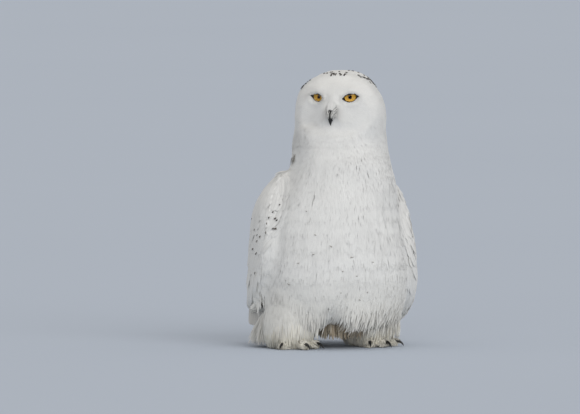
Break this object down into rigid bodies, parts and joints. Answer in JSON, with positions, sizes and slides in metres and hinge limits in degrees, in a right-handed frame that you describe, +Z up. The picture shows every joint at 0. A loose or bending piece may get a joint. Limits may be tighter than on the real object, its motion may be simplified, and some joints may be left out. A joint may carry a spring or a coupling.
{
  "type": "snowy owl, life-size still model",
  "caption": "Life-size standing snowy owl, adult male, wings folded, head turned to its right, feet and tail tip on the floor.",
  "frame": {"origin": "centre of the whole bird's bounding box in plan, on the floor under its feet", "axes": "+Z up; the body faces -Y, so the owl's left wing is at +X and its tail at +Y; the head is turned 43 degrees to its right"},
  "size_m": [0.314, 0.3642, 0.502],
  "materials": {
    "plumage": "soft white body feathers, matt, with sparse sooty bars and spots",
    "flight_feather": "stiffer white wing and tail feathers, faint silky sheen",
    "foot_feather": "dense hair-like cream feathers over leg and toes",
    "horn": "black horn, satin, paler at the worn tip",
    "iris": "amber yellow with a black pupil, wet",
    "cornea": "clear wet dome over the eye",
    "lid": "bare blackish skin of the eyelid rim",
    "skin": "down and bases of the feathers beneath the coat"
  },
  "bodies": {
    "root": {"head": "plumage", "neck": "plumage", "trunk": "plumage", "wing_right": "plumage", "wing_left": "plumage", "leg_right": "plumage", "leg_left": "plumage", "primaries_right": "flight_feather", "primaries_left": "flight_feather", "tail": "flight_feather", "foot_right": "foot_feather", "foot_left": "foot_feather", "bill_upper": "horn", "bill_lower": "horn", "eye_right": "iris", "claw_right_hind": "horn", "claw_right_inner": "horn", "claw_right_middle": "horn", "claw_right_outer": "horn", "eye_left": "iris", "claw_left_hind": "horn", "claw_left_inner": "horn", "claw_left_middle": "horn", "claw_left_outer": "horn"}
  },
  "joints": []
}
